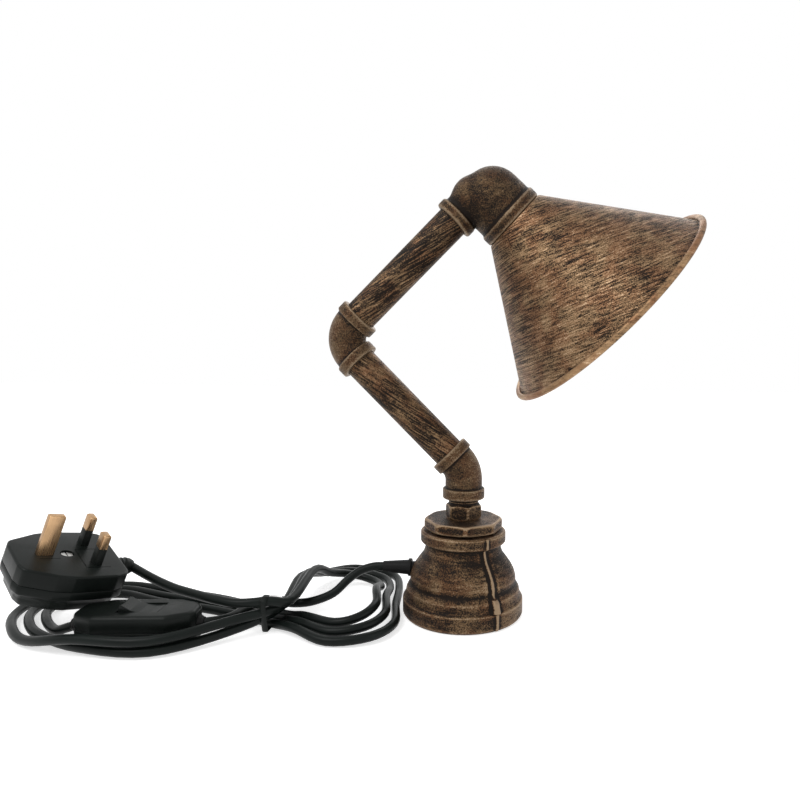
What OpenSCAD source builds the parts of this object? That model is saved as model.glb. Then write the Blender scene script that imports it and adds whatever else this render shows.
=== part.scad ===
// Industrial pipe table lamp: malleable-iron style fittings, two short pipes, a spun cone
// shade and a black flex with an in-line rocker switch and a three-pin plug.
// +Z is up. The origin is the centre of the base's underside. The arm lies in the XZ plane,
// the shade looks down towards +X and the flex leaves towards -X.

/* [Pipes] */
// Outside diameter of both pipes
pipe_od = 19; // [17:0.5:22]
// Bore of both pipes
pipe_bore = 14; // [10:0.5:15]
// From the 45 degree elbow's centre to the middle elbow's centre
lower_run = 106; // [90:1:150]
// From the middle elbow's centre to the top elbow's centre
upper_run = 119.4; // [105:0.2:170]

/* [Small fittings] */
// Wall of a small fitting around the pipe
fitting_wall = 1.3; // [1.1:0.1:3]
// How far a band stands out from a small fitting's body
band_stand = 1.5; // [0.8:0.1:3]
// Width of a band on a small fitting
band_w = 5.8; // [4:0.1:7]
// How deep a pipe sits in a fitting
socket_depth = 8; // [6:0.5:9]
// 45 degree elbow, centre to its lower mouth
elbow45_down = 17.4; // [16.5:0.1:22]
// 45 degree elbow, centre to its upper mouth
elbow45_up = 13; // [13:0.1:18]
// Middle elbow, centre to either mouth
mid_reach = 19.4; // [19:0.1:24]
// Top elbow, centre to the pipe's mouth
top_reach_in = 24.4; // [24:0.2:32]
// Top elbow, centre to the shade's mouth
top_reach_out = 24.4; // [23:0.2:32]
// Diameter of the band at the shade's mouth
outlet_band_d = 38.6; // [37:0.2:44]

/* [Base] */
// Diameter of the base's lower band
base_d = 71; // [68:1:100]
// Height of the base's lower band
base_band_h = 10.6; // [8:0.2:14]
// Height of the bell socket
bell_h = 49.5; // [47:0.5:60]
// Diameter of the bell's upper band
bell_top_d = 50; // [47:0.5:54]
// Height of the bell's upper band
bell_top_band_h = 6.7; // [5:0.1:9]
// Wall of the bell
bell_wall = 4; // [3:0.2:5]
// Distance across the octagon of the reducing bush
octagon_af = 43; // [41:0.5:46]
// Height of the octagon head
octagon_h = 5.8; // [4:0.2:8]
// Gap between the bell's rim and the octagon head
octagon_gap = 0.9; // [0.4:0.1:2]
// Distance across the flats of the hex nipple
hex_af = 19; // [18.5:0.5:22]
// Height of the nipple's hexagon
hex_h = 8.4; // [6:0.2:11]
// Thread left showing above the hexagon
thread_show = 3.6; // [2:0.2:6]
// Thread diameter of the nipple
nipple_thread_d = 17.8; // [16:0.1:18.4]
// Thickness of the base cover plate
plate_t = 2; // [1.5:0.5:3]
// Thickness of the felt pad
felt_t = 1.5; // [1:0.5:3]

/* [Shade] */
// Outside diameter of the shade at its rim bead
shade_d = 144.2; // [130:0.2:170]
// Height of the shade along its axis
shade_h = 74.8; // [72:0.2:95]
// Outside diameter of the shade's flat top
shade_top_d = 38.6; // [37:0.2:44]
// Thickness of the spun sheet
shade_t = 1; // [0.8:0.1:1.5]
// Thickness of the rolled rim bead
bead_d = 3.6; // [2.4:0.2:5]
// How far the head is turned on the upper pipe
head_yaw = 9; // [-30:1:30]
// How far the shade tips from a right angle with the pipe
head_tilt = -2.3; // [-3:0.1:3]

/* [Lampholder and bulb] */
// Outside diameter of the lampholder's threaded body
holder_d = 27; // [26:0.2:28]
// Length of the lampholder's body
holder_len = 38; // [36:1:44]
// Outside diameter of the shade ring
shade_ring_d = 34; // [32.5:0.5:34.5]
// Thickness of the shade ring
shade_ring_h = 4.5; // [3:0.5:7]
// Diameter of the bulb's screw cap
cap_d = 13.6; // [13:0.1:13.8]
// Diameter of the bulb's glass
bulb_d = 45; // [35:1:50]
// Length of the bulb from its contact to its tip
bulb_len = 72; // [70:1:76]

/* [Flex] */
// Diameter of the round flex
cord_d = 5; // [4:0.1:6]
// Length of the strain relief outside the base
relief_len = 17; // [14:1:30]
// Height of the flex outlet above the table
relief_z = 25; // [23:0.5:27]

/* [In-line switch] */
// Length of the switch
switch_len = 62; // [58:1:70]
// Width of the switch
switch_w = 26; // [24:1:28]
// Height of the switch
switch_h = 17; // [15:0.5:20]
// Rocker length along the switch
rocker_len = 21; // [18:0.5:24]
// Rocker width
rocker_w = 12; // [9:0.5:14]
// How far the rocker tips at rest
rocker_tip = 9; // [5:1:12]

/* [Plug] */
// Width of the plug's face
plug_w = 51; // [49:1:56]
// Length of the plug's face
plug_len = 51; // [49:1:56]
// Thickness of the plug's pin base
plug_base_t = 9; // [8:0.5:11]
// Thickness of the plug's cover
plug_cover_t = 13; // [12:0.5:18]

/* [Clearances] */
// Radial running clearance at each turning joint
run_gap = 0.05; // [0.02:0.01:0.1]
// Gap between the end faces of pieces that turn against each other
face_gap = 0.3; // [0.1:0.05:0.5]
// Radial gap between pieces screwed or pushed together
fit_gap = 0.05; // [0:0.01:0.1]

/* [Hidden] */
$fn = 96;

iron = [0.33, 0.25, 0.2];
bronze = [0.52, 0.38, 0.29];
black = [0.06, 0.06, 0.065];
brass = [0.78, 0.62, 0.32];
steel = [0.62, 0.62, 0.6];

pipe_r = pipe_od / 2;
fitting_r = pipe_r + fitting_wall;
band_r = fitting_r + band_stand;
lean = 45;
elbow_r = max(band_r + 1.3, mid_reach - band_w);
elbow45_r = 16;
bend45_reach = elbow45_r * tan(lean / 2);
lead_d = 5;

octagon_z = bell_h + octagon_gap;
hex_z = octagon_z + octagon_h;
nipple_z = hex_z + hex_h;
elbow45_z = nipple_z + thread_show + elbow45_down;
nipple_top_z = nipple_z + thread_show + socket_depth;
mid_x = -lower_run * sin(lean);
mid_z = elbow45_z + lower_run * cos(lean);
top_x = mid_x + upper_run * sin(lean);
top_z = mid_z + upper_run * cos(lean);

// ---- Places along the arm: each frame's +Z runs along the pipe or the shade's axis ----
module at_elbow45() translate([0, 0, elbow45_z]) children();
module along_lower() at_elbow45() rotate([0, -lean, 0]) children();
module at_mid() translate([mid_x, 0, mid_z]) rotate([0, -lean, 0]) children();
module along_upper() translate([mid_x, 0, mid_z]) rotate([0, lean, 0]) children();
module at_top() translate([top_x, 0, top_z]) rotate([0, lean, 0]) children();
module along_shade() at_top() rotate([0, 0, head_yaw]) rotate([0, 90 + head_tilt, 0]) children();

// ---- Shapes used more than once ----
module ring(r_out, r_in, h) difference() {
    cylinder(h = h, r = r_out);
    translate([0, 0, -1]) cylinder(h = h + 2, r = r_in);
}

module band(r, w, soft = 0.9) rotate_extrude() polygon([[0, 0], [r - soft, 0],
    [r - 0.3 * soft, 0.3 * soft], [r, soft], [r, w - soft],
    [r - 0.3 * soft, w - 0.3 * soft], [r - soft, w], [0, w]]);

// A round bar that comes up +Z and bends towards -X by the angle, its axes crossing at the
// origin. over makes it a few degrees longer at both ends
module bend(angle, radius, r, over = 0) translate([-radius, 0, -radius * tan(angle / 2)])
    rotate([90, 0, 0]) rotate([0, 0, -over])
        rotate_extrude(angle = angle + 2 * over) translate([radius, 0]) circle(r);

module mouth(reach, from, r_body, r_band, w) {
    translate([0, 0, -reach]) cylinder(h = reach - from, r = r_body);
    translate([0, 0, -reach]) band(r_band, w);
}

module thread(r, pitch, len) {
    turns = floor(len / pitch);
    rotate_extrude() polygon(concat([[0, 0]], [for (i = [0 : turns - 1]) each
        [[r - 0.6, i * pitch], [r, (i + 0.5) * pitch]]], [[r - 0.6, len], [0, len]]));
}

// ---- Base ----
bell_neck_r = bell_top_d / 2 - 3;
bell_bore_r = bell_neck_r - bell_wall;
base_r = base_d / 2;
bell_body_r = base_r - 4.3;
shoulder_z = bell_h - bell_top_band_h - 5;
hip_z = base_band_h + 12;

function bell_outline(e) = [[base_r - 2.6, 0], [base_r - 0.8, 0.9], [base_r, 2.6],
    [base_r + e, 3], [base_r + e, base_band_h - 1.2], [base_r - 0.4 + e, base_band_h - 0.3],
    [base_r - 1.2 + e, base_band_h], [base_r - 1.7 + e, base_band_h + 2.6],
    [base_r - 2.2 + e, base_band_h + 4.8], [bell_body_r + e, base_band_h + 7.8],
    [bell_body_r - 0.1 + e, hip_z], [bell_body_r - 0.9 + e, hip_z + 3],
    [bell_body_r - 2.6 + e, hip_z + 6.2], [bell_body_r - 5 + e, hip_z + 9.6],
    [bell_body_r - 7.7 + e, hip_z + 13], [bell_neck_r + 0.4 + e, shoulder_z + 1],
    [bell_neck_r + e, shoulder_z + 2.4], [bell_neck_r + e, bell_h - bell_top_band_h - 0.8],
    [bell_top_d / 2 - 0.9 + e, bell_h - bell_top_band_h],
    [bell_top_d / 2 + e, bell_h - bell_top_band_h + 0.9], [bell_top_d / 2 + e, bell_h - 0.9],
    [bell_top_d / 2 - 0.9 + e, bell_h]];

module bell_socket() color(iron) difference() {
    union() {
        rotate_extrude() polygon(concat([[0, 0]], bell_outline(0), [[0, bell_h]]));
        // Cast seam down both sides, with a lug above the lower band
        for (turn = [-53, 127]) rotate([0, 0, turn]) {
            rotate([0, 0, -1.6]) rotate_extrude(angle = 3.2) polygon(concat([[10, 4]],
                [for (p = bell_outline(0.7)) if (p[1] > 3.5 && p[1] < bell_h - 0.95) p],
                [[10, bell_h - 1.5]]));
            translate([bell_body_r - 1, -2.6, base_band_h - 1]) cube([4.2, 5.2, 9]);
        }
    }
    translate([0, 0, -1]) cylinder(h = hip_z + 1, r = bell_body_r - bell_wall);
    translate([0, 0, hip_z - 0.01]) cylinder(h = shoulder_z - hip_z - 1,
        r1 = bell_body_r - bell_wall, r2 = bell_bore_r);
    cylinder(h = bell_h + 1, r = bell_bore_r);
    translate([0, 0, -1]) cylinder(h = 1 + felt_t + plate_t, r = plate_r + fit_gap);
    translate([0, 0, relief_z]) rotate([0, -90, 0])
        cylinder(h = base_d, r = relief_shank_r + fit_gap);
    translate([0, 0, relief_z]) rotate([0, -90, 0]) translate([0, 0, relief_wall_x])
        cylinder(h = base_d, r = relief_flange_r + fit_gap);
}

plate_r = base_r - 4;

module base_plate() color(steel) translate([0, 0, felt_t]) difference() {
    cylinder(h = plate_t, r = plate_r);
    translate([0, 0, -1]) cylinder(h = plate_t + 2, r = 2);
}

module felt_pad() color(black) cylinder(h = felt_t, r = plate_r - 0.5);

bush_shank_len = 13;
bush_bore_r = nipple_thread_d / 2 + fit_gap;

module reducing_bush() color(iron) difference() {
    union() {
        translate([0, 0, octagon_z]) rotate([0, 0, -82.5]) intersection() {
            cylinder(h = octagon_h, r = octagon_af / 2 / cos(22.5), $fn = 8);
            band(octagon_af / 2 / cos(22.5) - 0.3, octagon_h, 1.2);
        }
        translate([0, 0, bell_h - bush_shank_len])
            cylinder(h = bush_shank_len + octagon_gap + 0.1, r = bell_bore_r - fit_gap);
    }
    translate([0, 0, bell_h - bush_shank_len - 1])
        cylinder(h = bush_shank_len + octagon_h + 5, r = bush_bore_r);
}

module hex_nipple() color(bronze) difference() {
    union() {
        translate([0, 0, hex_z]) rotate([0, 0, -70.5]) intersection() {
            cylinder(h = hex_h, r = hex_af / 2 / cos(30), $fn = 6);
            band(hex_af / 2 / cos(30) - 0.2, hex_h, 1.6);
        }
        translate([0, 0, hex_z - 12]) cylinder(h = 12.1, r = bush_bore_r - fit_gap);
        translate([0, 0, nipple_z - 0.1])
            cylinder(h = thread_show + 0.2, r = nipple_thread_d / 2 - 0.8);
        translate([0, 0, nipple_z]) thread(nipple_thread_d / 2, 1.2, thread_show);
        translate([0, 0, nipple_z + thread_show])
            cylinder(h = socket_depth, r = nipple_thread_d / 2);
    }
    translate([0, 0, hex_z - 13]) cylinder(h = 60, r = pipe_bore / 2 - 1);
}

relief_shank_r = 3.6;
relief_flange_r = 5.2;
// The bell's inner wall at the top edge of the nut, where it narrows
bell_inner_x = bell_body_r - bell_wall - 8.6 * (bell_body_r - bell_wall - bell_bore_r)
    / (shoulder_z - hip_z - 1);
relief_wall_x = bell_body_r - 0.4;
relief_tip_x = relief_wall_x + relief_len;

module strain_relief() color(black) translate([0, 0, relief_z]) rotate([0, -90, 0]) difference() {
    union() {
        translate([0, 0, relief_wall_x - bell_wall - 5]) cylinder(h = bell_wall + 6, r = relief_shank_r);
        translate([0, 0, relief_wall_x]) cylinder(h = 1.6, r = relief_flange_r);
        translate([0, 0, relief_wall_x + 1.5])
            cylinder(h = relief_len - 1.5, r1 = 4.4, r2 = cord_d / 2 + 0.6);
    }
    translate([0, 0, relief_wall_x - bell_wall - 6]) cylinder(h = 60, r = cord_d / 2 + fit_gap);
}

module relief_nut() color(black) translate([0, 0, relief_z]) rotate([0, -90, 0])
    translate([0, 0, bell_inner_x - 3]) difference() {
        cylinder(h = 3, r = 6.2, $fn = 6);
        translate([0, 0, -1]) cylinder(h = 5, r = relief_shank_r + fit_gap);
    }

// Earth screw and its tag on the bush's underside
module earth_screw() color(brass) translate([bush_bore_r + 4.2, 0, bell_h - bush_shank_len]) {
    translate([0, 0, -1]) cylinder(h = 1, r = 3.4);
    translate([0, 0, -3.4]) cylinder(h = 2.5, r = 2.8);
    translate([-4.8, -0.9, -1]) cube([3, 1.8, 0.8]);
}

// The flex inside the base: in through the relief, then up the middle
lead_turn = 14;
module base_lead() color(black) {
    translate([0, 0, relief_z]) mirror([1, 0, 0]) {
        rotate([0, 90, 0]) translate([0, 0, lead_turn])
            cylinder(h = relief_wall_x - bell_wall - 5 - lead_turn, r = lead_d / 2 - 0.2);
        translate([lead_turn, 0, lead_turn]) rotate([90, 0, 0]) rotate([0, 0, 180])
            rotate_extrude(angle = 90) translate([lead_turn, 0]) circle(lead_d / 2 - 0.2);
    }
    translate([0, 0, relief_z + lead_turn])
        cylinder(h = nipple_top_z - relief_z - lead_turn, r = lead_d / 2 - 0.2);
}

// ---- Arm ----
step = 0.06;
elbow45_bore_r = pipe_bore / 2 - 0.8;
lower_pipe_from = elbow45_up - socket_depth;
lower_pipe_to = lower_run - mid_reach + socket_depth;
upper_pipe_from = mid_reach - socket_depth;
upper_pipe_to = upper_run - top_reach_in + socket_depth;

// The straight ends are a little thicker than the bend, so that their surfaces cross cleanly
module elbow_45() color(iron) at_elbow45() difference() {
    union() {
        mouth(elbow45_down, bend45_reach, fitting_r + step, band_r, band_w);
        bend(lean, elbow45_r, fitting_r, 3);
        rotate([0, -lean, 0]) mirror([0, 0, 1])
            mouth(elbow45_up, bend45_reach, fitting_r + step, band_r, band_w);
    }
    translate([0, 0, -elbow45_down - 1])
        cylinder(h = socket_depth + 1 + face_gap, r = nipple_thread_d / 2 + run_gap);
    translate([0, 0, -elbow45_down]) cylinder(h = elbow45_down - bend45_reach, r = elbow45_bore_r + step);
    bend(lean, elbow45_r, elbow45_bore_r, 3);
    rotate([0, -lean, 0]) translate([0, 0, lower_pipe_from]) cylinder(h = 40, r = pipe_r + fit_gap);
}

module lower_pipe() color(bronze) along_lower() translate([0, 0, lower_pipe_from])
    ring(pipe_r, pipe_bore / 2, lower_pipe_to - lower_pipe_from);

module lower_lead() color(black) {
    translate([0, 0, nipple_top_z + face_gap])
        cylinder(h = elbow45_z - bend45_reach - nipple_top_z - face_gap,
            r = lead_d / 2 - 0.2);
    at_elbow45() bend(45, elbow45_r, lead_d / 2 - 0.2);
    along_lower() translate([0, 0, bend45_reach])
        cylinder(h = lower_pipe_to - bend45_reach, r = lead_d / 2 - 0.2);
    along_lower() translate([0, 0, bend45_reach - 1]) cylinder(h = 2, r = lead_d / 2 - 0.5);
}

module mid_elbow() color(iron) at_mid() difference() {
    union() {
        mouth(mid_reach, elbow_r, fitting_r, band_r, band_w);
        mirror([1, 0, 0]) bend(90, elbow_r, fitting_r);
        rotate([0, 90, 0]) mirror([0, 0, 1])
            mouth(mid_reach, elbow_r, fitting_r, band_r, band_w);
    }
    translate([0, 0, -mid_reach - 1]) cylinder(h = socket_depth + 1 + face_gap, r = pipe_r + run_gap);
    mirror([1, 0, 0]) bend(90, elbow_r, pipe_bore / 2);
    rotate([0, 90, 0]) translate([0, 0, upper_pipe_from]) cylinder(h = 40, r = pipe_r + fit_gap);
    translate([0, 0, -elbow_r - 1]) cylinder(h = 1.01, r = pipe_bore / 2);
}

module upper_pipe() color(bronze) along_upper() translate([0, 0, upper_pipe_from])
    ring(pipe_r, pipe_bore / 2, upper_pipe_to - upper_pipe_from);

lead_bend_r = 11;
module upper_lead() color(black) at_mid() {
    translate([0, 0, lower_pipe_to - lower_run + face_gap])
        cylinder(h = lower_run - lower_pipe_to - face_gap - lead_bend_r, r = lead_d / 2 - 0.2);
    mirror([1, 0, 0]) bend(90, lead_bend_r, lead_d / 2 - 0.2);
    rotate([0, 90, 0]) translate([0, 0, lead_bend_r])
        cylinder(h = upper_pipe_to - lead_bend_r, r = lead_d / 2 - 0.2);
}

// ---- Head ----
outlet_r = outlet_band_d / 2;
bulge_r = outlet_r - 1.3;
bulge_s = bulge_r - fitting_r;
holder_r = holder_d / 2;
outlet_bore_r = holder_r + 2.5;
bush_depth = 12;

module top_elbow() color(iron) difference() {
    union() {
        at_top() mouth(top_reach_in, 0, fitting_r, band_r, band_w);
        at_top() translate([0.5, 0, -7]) sphere(fitting_r + 3.2);
        along_shade() {
            translate([0, 0, bulge_s]) sphere(bulge_r);
            translate([0, 0, bulge_s]) cylinder(h = top_reach_out - bulge_s - 1, r = bulge_r + step);
            translate([0, 0, top_reach_out - band_w - 0.7]) band(outlet_r, band_w + 0.7);
        }
    }
    at_top() translate([0, 0, -top_reach_in - 1])
        cylinder(h = socket_depth + 1 + face_gap, r = pipe_r + run_gap);
    at_top() translate([0, 0, -top_reach_in]) cylinder(h = top_reach_in, r = pipe_bore / 2);
    along_shade() translate([0, 0, -5]) cylinder(h = 60, r = pipe_bore / 2);
    along_shade() translate([0, 0, 1]) cylinder(h = 60, r = 14.4);
    along_shade() translate([0, 0, top_reach_out - bush_depth]) cylinder(h = 40, r = outlet_bore_r);
}

holder_from = top_reach_out - 9;
holder_to = holder_from + holder_len;
cap_len = 5;

// Threaded bush that grips the lampholder in the elbow's mouth
module outlet_bush() color(brass) along_shade() translate([0, 0, top_reach_out - bush_depth])
    ring(outlet_bore_r - fit_gap, holder_r + fit_gap, bush_depth);

module holder_cap() color(black) along_shade() difference() {
    union() {
        translate([0, 0, holder_from - cap_len]) cylinder(h = cap_len / 2, r1 = 8, r2 = holder_r);
        translate([0, 0, holder_from - cap_len / 2 - 0.01])
            cylinder(h = cap_len / 2 + 0.01, r = holder_r);
    }
    translate([0, 0, holder_from - cap_len / 2]) cylinder(h = cap_len, r = holder_r - 2);
    translate([0, 0, holder_from - 2 * cap_len]) cylinder(h = 2 * cap_len, r = lead_d / 2 + 0.3);
}

holder_wall = 2.4;
module holder_body() color(black) along_shade() translate([0, 0, holder_from])
    ring(holder_r, holder_r - holder_wall, holder_len);

insert_from = holder_from + 1;
insert_h = 7;
contact_x = 5.2;
module holder_insert() color([0.93, 0.92, 0.88]) along_shade() translate([0, 0, insert_from])
    difference() {
        cylinder(h = insert_h, r = holder_r - holder_wall - fit_gap);
        for (side = [-1, 1]) translate([side * contact_x, 0, -1]) cylinder(h = insert_h + 2, r = 1.7);
    }

shell_from = insert_from + insert_h;
module holder_contact() color(brass) along_shade() {
    for (side = [-1, 1]) translate([side * contact_x, 0, insert_from - 1.5])
        cylinder(h = insert_h + 1.8, r = 1.6);
    translate([-6.5, -1.5, shell_from]) cube([13, 3, 0.6]);
    translate([0, 0, shell_from + 0.58]) cylinder(h = contact_s - shell_from - 0.58, r = 2.5);
}

module screw_shell() color(brass) along_shade() translate([0, 0, shell_from])
    ring(holder_r - holder_wall - 2.2, cap_d / 2 + 0.3, 21);

module shade_ring() color(black) along_shade() translate([0, 0, top_reach_out + shade_t])
    difference() {
        union() {
            cylinder(h = 1.4, r = shade_ring_d / 2);
            cylinder(h = shade_ring_h, r = shade_ring_d / 2 - 2.4);
        }
        translate([0, 0, -1]) cylinder(h = shade_ring_h + 2, r = holder_r + fit_gap);
        for (k = [0 : 23]) rotate([0, 0, 15 * k])
            translate([shade_ring_d / 2 - 2.2, 0, 2]) cylinder(h = 9, r = 0.6);
    }

// The sheet's half section: flat top, rounded neck, cone and rolled bead
bead_r = bead_d / 2;
cone_top_r = shade_top_d / 2;
cone_end_r = shade_d / 2 - bead_d - 0.3;
cone_end_s = shade_h - bead_r - 0.6;

module shade() color(bronze) along_shade() translate([0, 0, top_reach_out]) {
    rotate_extrude() polygon([[holder_r + 0.2, 0], [cone_top_r - 1.2, 0],
        [cone_top_r - 0.4, 0.4], [cone_top_r, 1.2],
        [cone_end_r, cone_end_s - 0.6], [cone_end_r + 1, cone_end_s], [shade_d / 2 - bead_r, cone_end_s],
        [shade_d / 2 - bead_r, cone_end_s + shade_t], [cone_end_r + 0.4, cone_end_s + shade_t],
        [cone_end_r - shade_t * 1.15, cone_end_s],
        [cone_top_r - shade_t * 1.15, 1.6], [cone_top_r - 2, shade_t], [holder_r + 0.2, shade_t]]);
    translate([0, 0, shade_h - bead_r]) rotate_extrude() translate([shade_d / 2 - bead_r, 0])
        circle(bead_r, $fn = 48);
}

contact_s = shell_from + 2.1;
cap_from = contact_s + 2.4;
glass_from = contact_s + 24;
bulb_tip_s = contact_s + bulb_len;
bulb_s = bulb_tip_s - bulb_d / 2;
stem_r = cap_d / 2 - 2.2;
support_r = 0.12 * bulb_d;
filament_from = max(glass_from + 3, bulb_s - bulb_d / 3);
filament_to = bulb_s + bulb_d / 4;

module bulb_cap() color(steel) along_shade() {
    translate([0, 0, contact_s]) cylinder(h = 2.5, r1 = 2, r2 = 5);
    translate([0, 0, cap_from]) thread(cap_d / 2, 2.8, 17);
    translate([0, 0, cap_from + 16.9]) cylinder(h = glass_from - cap_from - 16.9, r = cap_d / 2);
}

module bulb_outline(inset) {
    intersection() {
        union() {
            translate([0, bulb_s]) circle(bulb_d / 2 - inset);
            polygon([[0, glass_from + inset], [cap_d / 2 + 0.6 - inset, glass_from + inset],
                [cap_d / 2 + 1.4 - inset, glass_from + 4], [cap_d / 2 + 2.2 - inset, holder_to + 1],
                [bulb_d * 0.36 - inset, bulb_s - bulb_d * 0.335], [0, bulb_s]]);
        }
        translate([0, glass_from + inset]) square([bulb_d, bulb_len]);
    }
}

module bulb_glass() color([0.9, 0.85, 0.7, 0.4]) along_shade() rotate_extrude() difference() {
    bulb_outline(0);
    bulb_outline(0.9);
}

// The stem, two supports and the filament strung between them, all inside the glass
module bulb_filament() color([0.9, 0.7, 0.4]) along_shade() {
    translate([0, 0, glass_from + 1])
        cylinder(h = filament_from - glass_from, r1 = stem_r, r2 = stem_r / 2);
    for (k = [0 : 3]) rotate([0, 0, 90 * k]) translate([0.78 * support_r, 0, filament_from])
        cylinder(h = filament_to - filament_from, r = 0.9);
    translate([0, 0, filament_from]) cylinder(h = 1.5, r = support_r);
    translate([0, 0, filament_to - 1]) cylinder(h = 1.2, r = support_r);
}

module head_lead() color(black) at_top() rotate([0, 0, head_yaw]) {
    translate([0, 0, upper_pipe_to - upper_run + face_gap])
        cylinder(h = upper_run - upper_pipe_to - face_gap - lead_bend_r, r = lead_d / 2 - 0.2);
    mirror([1, 0, 0]) bend(90, lead_bend_r, lead_d / 2 - 0.2);
}

// ---- Flex on the table ----
cord_r = cord_d / 2;
lift = 0.9;

// A smooth path through points, as a list with rings between them
function spline(p, i, t) = let(
    a = p[max(i - 1, 0)], b = p[i], c = p[min(i + 1, len(p) - 1)], d = p[min(i + 2, len(p) - 1)])
    0.5 * ((2 * b) + (c - a) * t + (2 * a - 5 * b + 4 * c - d) * t * t
        + (3 * b - a - 3 * c + d) * t * t * t);
function path(p, per = 1) = concat([for (i = [0 : len(p) - 2]) each
    [for (k = [0 : per - 1]) spline(p, i, k / per)]], [p[len(p) - 1]]);
function unit(v) = v / norm(v);
function tangent(p, i) = unit(p[min(i + 1, len(p) - 1)] - p[max(i - 1, 0)]);
function side_of(t) = unit(cross(t, [0.02, 0.03, 1]));
function run_length(p, i = 0) = i >= len(p) - 1 ? 0 : norm(p[i + 1] - p[i]) + run_length(p, i + 1);

// One closed tube swept along a list of points, flattened by nothing and unbroken
module tube(p, r, sides) {
    rings = [for (i = [0 : len(p) - 1]) let(t = tangent(p, i), a = side_of(t), b = cross(t, a))
        each [for (k = [0 : sides - 1]) let(w = 360 * (k + 0.5) / sides)
            p[i] + r * (cos(w) * a + sin(w) * b)]];
    n = len(p);
    sheet = [for (i = [0 : n - 2]) each [for (k = [0 : sides - 1]) let(
        q = i * sides + k, s = i * sides + (k + 1) % sides) each
        [[q, s, q + sides], [s, s + sides, q + sides]]]];
    ends = [for (k = [1 : sides - 2]) each [[0, k + 1, k],
        [(n - 1) * sides, (n - 1) * sides + k, (n - 1) * sides + k + 1]]];
    polyhedron(points = rings, faces = concat(sheet, ends));
}

// The hank: a crossed loop wound nearly three times, each turn one step from the last
hank_first = [[-212, -58, 4], [-224.5, -48.5, 4], [-234.5, -35.5, 4], [-235.5, -22, 4], [-227, -11.5, 3],
    [-207.5, -7, 4], [-178, -17, 4], [-140, -25, 4], [-103.5, -35.5, 3], [-87, -45, 5],
    [-67, -54, 3], [-45, -49, 4], [-35.5, -31.5, 4], [-39.5, -5, 3.5], [-42.5, 22.5, 3],
    [-48.5, 42, 3.5], [-65, 51, 4], [-80.5, 48, 6], [-94, 33.5, 7.5], [-101, 6, 14.5],
    [-100, -30.5, 10], [-120, -53, 5], [-149.5, -75, 3.5], [-186.5, -75, 4]];
hank_step = [[-3, -6.5, 0], [-6, -5, 0], [-8, -2, -0.25], [-8.25, 1.75, 0], [-6, 6, 0],
    [-2.5, 7, 0], [0, 8.25, 0], [0, 6.5, 0.5], [1.25, 6, 0], [0.25, 6.75, 0.5],
    [0.25, 6.75, 2], [-4, 6, 2.75], [-5.75, 3.5, 4], [-6, 1, 4.5], [-5, -4, 2],
    [-5, -8, 1], [-1.5, -10, 1.25], [1, -9.5, 1.5], [4, -6.75, 2.5], [5.25, -2.75, 3.25],
    [4.25, -2.75, 3.5], [1, -0.75, 6], [-0.25, -1, 5.75], [-1, -3, 5.5]];
hank_last = 68;
function hank_point(i) = hank_first[i % 24] + floor(i / 24) * hank_step[i % 24];
hank_tube = [for (i = [0 : hank_last]) hank_point(i)];

// Least gap of the hank to itself, between points some way apart along it
hank_fine = [for (i = [0 : hank_last - 1]) each [for (k = [0 : 3])
    hank_tube[i] + (hank_tube[i + 1] - hank_tube[i]) * k / 4]];
hank_gap = min([for (i = [0 : len(hank_fine) - 18]) for (j = [i + 17 : len(hank_fine) - 1])
    norm(hank_fine[i] - hank_fine[j])]) - cord_d;
echo(hank_gap = hank_gap, hank_length = run_length(hank_fine));

switch_pos = [-166, -57, lift];
switch_turn = 7;
switch_cord_z = 8.5;
function on_switch(x, z) = switch_pos + [x * cos(switch_turn), x * sin(switch_turn), z];

plug_pos = [-212.5, -46.8, 42];
plug_tilt = [13.4, -16.6, 142.9];

function turn_z(v, a) = [v[0] * cos(a) - v[1] * sin(a), v[0] * sin(a) + v[1] * cos(a), v[2]];
function turn_y(v, a) = [v[0] * cos(a) + v[2] * sin(a), v[1], v[2] * cos(a) - v[0] * sin(a)];
function turn_x(v, a) = [v[0], v[1] * cos(a) - v[2] * sin(a), v[1] * sin(a) + v[2] * cos(a)];
function on_plug(v) = plug_pos + turn_z(turn_y(turn_x(v, plug_tilt[0]), plug_tilt[1]), plug_tilt[2]);
plug_exit_y = -plug_len / 2 - 11;
plug_exit = on_plug([0, plug_exit_y, -plug_base_t]);

base_route = [[-relief_tip_x, 0, 25], [-54, 0, 24.5], [-62, -0.5, 21.75], [-69, -2.5, 16.75], [-76.5, -8, 10.25],
    [-87, -13, 7], [-97, -14, 5.75], [-104, -15.5, 6.75], [-110, -19, 8.75], [-115, -25, 10.25],
    [-118.5, -32, 9.75], [-121, -42, 9.3], [-125, -48, 9.25], [-131, -51.8, 9.4]];
switch_route = [[-203, -60.5, 7]];
plug_route = [[-102, -43, 18.4], [-117, -46, 17.75], [-131, -43, 18], [-146, -37, 18], [-162, -31, 18.75],
    [-178, -25, 21.5]];

base_line = concat(base_route, [on_switch(switch_len / 2, switch_cord_z)]);
switch_line = concat([on_switch(-switch_len / 2, switch_cord_z)], switch_route, [hank_tube[0]]);
plug_line = concat([hank_tube[len(hank_tube) - 1]], plug_route, [plug_exit]);

module cord_base_run() color(black) tube(path(base_line, 1), cord_r, 8);
module cord_switch_run() color(black) tube(path(switch_line, 1), cord_r, 8);
module cord_plug_run() color(black) tube(path(plug_line, 1), cord_r, 8);
module cord_hank() color(black) tube(hank_tube, cord_r, 6);

echo(cord_runs = [run_length(base_line), run_length(switch_line), run_length(plug_line)]);

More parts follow.
